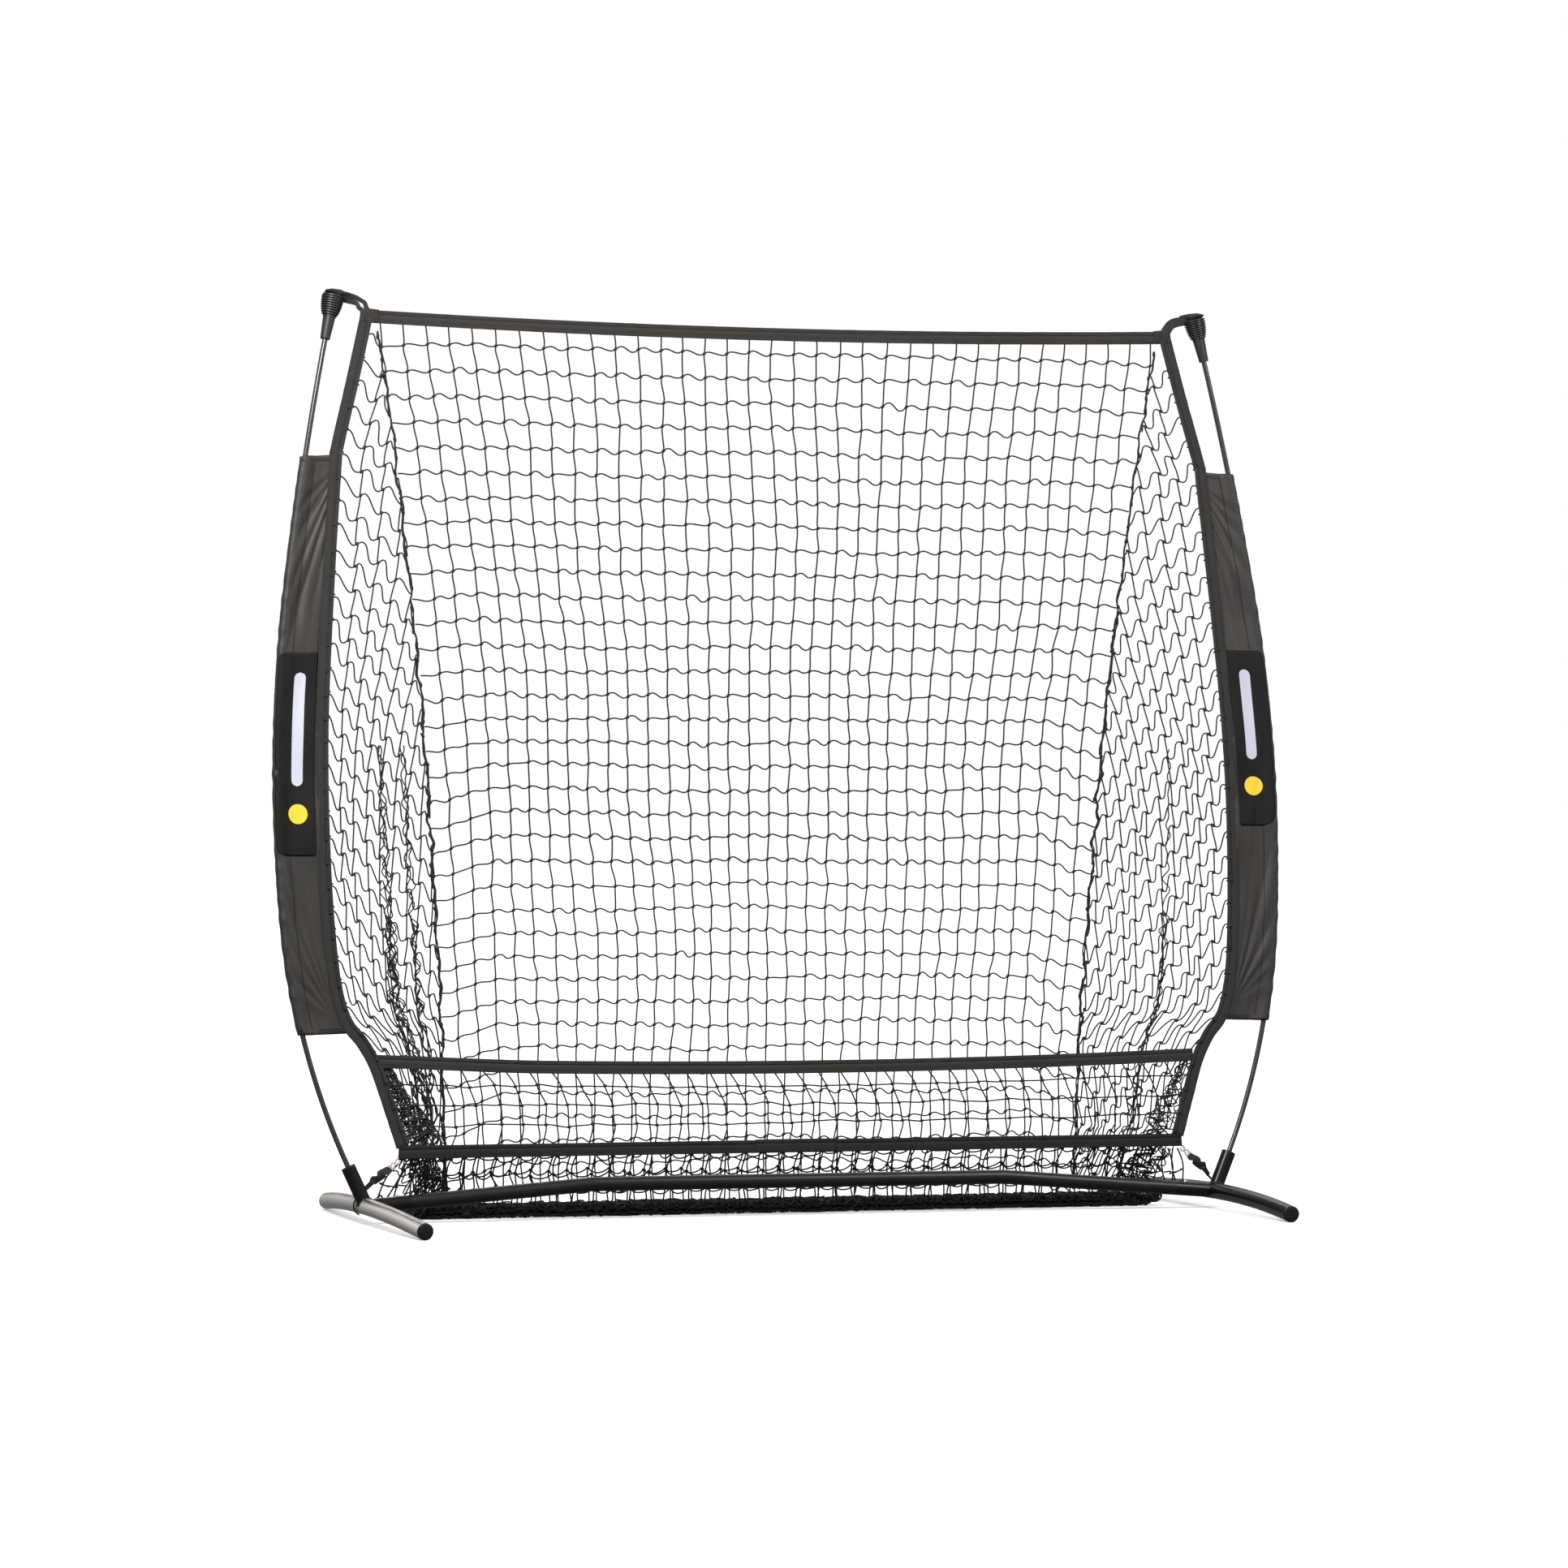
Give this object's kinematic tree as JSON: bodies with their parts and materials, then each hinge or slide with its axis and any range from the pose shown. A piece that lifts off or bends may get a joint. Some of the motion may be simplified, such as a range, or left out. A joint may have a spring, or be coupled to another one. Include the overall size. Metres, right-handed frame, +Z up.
{
  "type": "pitching target net",
  "caption": "Free-standing practice net: a deep pocket of knotted netting with a lip, hung between bowed poles on a low tube base.",
  "frame": {"origin": "on the ground, under the middle of the crossbar", "axes": "+X along the crossbar to the right of someone facing the open front, +Y from the open front to the back, +Z up"},
  "size_m": [1.6486, 0.6165, 1.419],
  "materials": {
    "bright_steel": "bright plated, lightly brushed along the tube",
    "black_steel": "satin black powder coat",
    "black_plastic": "moulded, satin",
    "cap_plastic": "moulded rubbery plastic, satin",
    "button_steel": "bright plated",
    "spring_steel": "blued spring steel",
    "ferrule_metal": "drawn",
    "fibreglass": "pultruded rod with fine lengthwise fibres",
    "shock_cord": "braided",
    "patch_cloth": "smooth black cloth with a plain printed bar and disc",
    "sleeve_cloth": "plain woven polyester, slight sheen",
    "webbing": "woven tape, matt",
    "netting": "knotted twine",
    "seam_rope": "laid cord",
    "white_elastic": "covered elastic",
    "coated_wire": "plastic-dipped wire"
  },
  "bodies": {
    "frame": {"left_foot_tube": "bright_steel", "right_foot_tube": "black_steel", "left_front_end_cap": "black_plastic", "left_rear_end_cap": "black_plastic", "right_front_end_cap": "black_plastic", "right_rear_end_cap": "black_plastic", "left_bar_stub": "black_steel", "right_bar_stub": "black_steel", "left_crossbar": "black_steel", "right_crossbar": "black_steel", "left_pole_socket": "black_steel", "right_pole_socket": "black_steel", "left_socket_bushing": "black_plastic", "right_socket_bushing": "black_plastic", "left_button_spring": "spring_steel", "centre_button_spring": "spring_steel", "right_button_spring": "spring_steel", "left_lower_pole": "fibreglass", "left_middle_pole": "fibreglass", "left_upper_pole": "fibreglass", "right_lower_pole": "fibreglass", "right_middle_pole": "fibreglass", "right_upper_pole": "fibreglass", "left_pole_ferrules": "ferrule_metal", "right_pole_ferrules": "ferrule_metal", "left_shock_cord": "shock_cord", "right_shock_cord": "shock_cord", "left_tip_cap": "cap_plastic", "right_tip_cap": "cap_plastic", "left_corner_loop": "webbing", "right_corner_loop": "webbing", "left_sleeve": "sleeve_cloth", "right_sleeve": "sleeve_cloth", "left_sleeve_patch": "patch_cloth", "right_sleeve_patch": "patch_cloth", "left_side_tape": "webbing", "right_side_tape": "webbing", "top_tape": "webbing", "lip_tape": "webbing", "bottom_tape": "webbing", "bottom_tape_splice": "webbing", "back_net": "netting", "left_side_net": "netting", "right_side_net": "netting", "lip_net": "netting", "skirt_net": "netting", "floor_net": "netting", "left_corner_seam": "seam_rope", "right_corner_seam": "seam_rope", "left_tie_elastic": "white_elastic", "right_tie_elastic": "white_elastic"},
    "left_button": {"left_snap_button": "button_steel"},
    "centre_button": {"centre_snap_button": "button_steel"},
    "right_button": {"right_snap_button": "button_steel"},
    "left_tie": {"left_tie_tab": "webbing", "left_tie_hook": "coated_wire"},
    "right_tie": {"right_tie_tab": "webbing", "right_tie_hook": "coated_wire"}
  },
  "joints": [
    {"name": "left_button_press", "type": "slide", "parent": "frame", "child": "left_button", "axis": [0.0772, 0, -0.997], "range_m": [0, 0.004], "stiffness_N_per_m": 1500, "springref_m": -0.003, "deforming": ["left_button_spring"]},
    {"name": "centre_button_press", "type": "slide", "parent": "frame", "child": "centre_button", "axis": [0, 0, -1], "range_m": [0, 0.004], "stiffness_N_per_m": 1500, "springref_m": -0.003, "deforming": ["centre_button_spring"]},
    {"name": "right_button_press", "type": "slide", "parent": "frame", "child": "right_button", "axis": [-0.0772, 0, -0.997], "range_m": [0, 0.004], "stiffness_N_per_m": 1500, "springref_m": -0.003, "deforming": ["right_button_spring"]},
    {"name": "left_tie_turn", "type": "hinge", "parent": "frame", "child": "left_tie", "pos_m": [-0.6923, 0.02, 0.02677], "axis": [0, -1, 0], "range_deg": [-5, 5], "stiffness_Nm_per_rad": 0.3, "deforming": ["left_tie_elastic"]},
    {"name": "right_tie_turn", "type": "hinge", "parent": "frame", "child": "right_tie", "pos_m": [0.6923, 0.02, 0.02677], "axis": [0, 1, 0], "range_deg": [-5, 5], "stiffness_Nm_per_rad": 0.3, "deforming": ["right_tie_elastic"]}
  ]
}
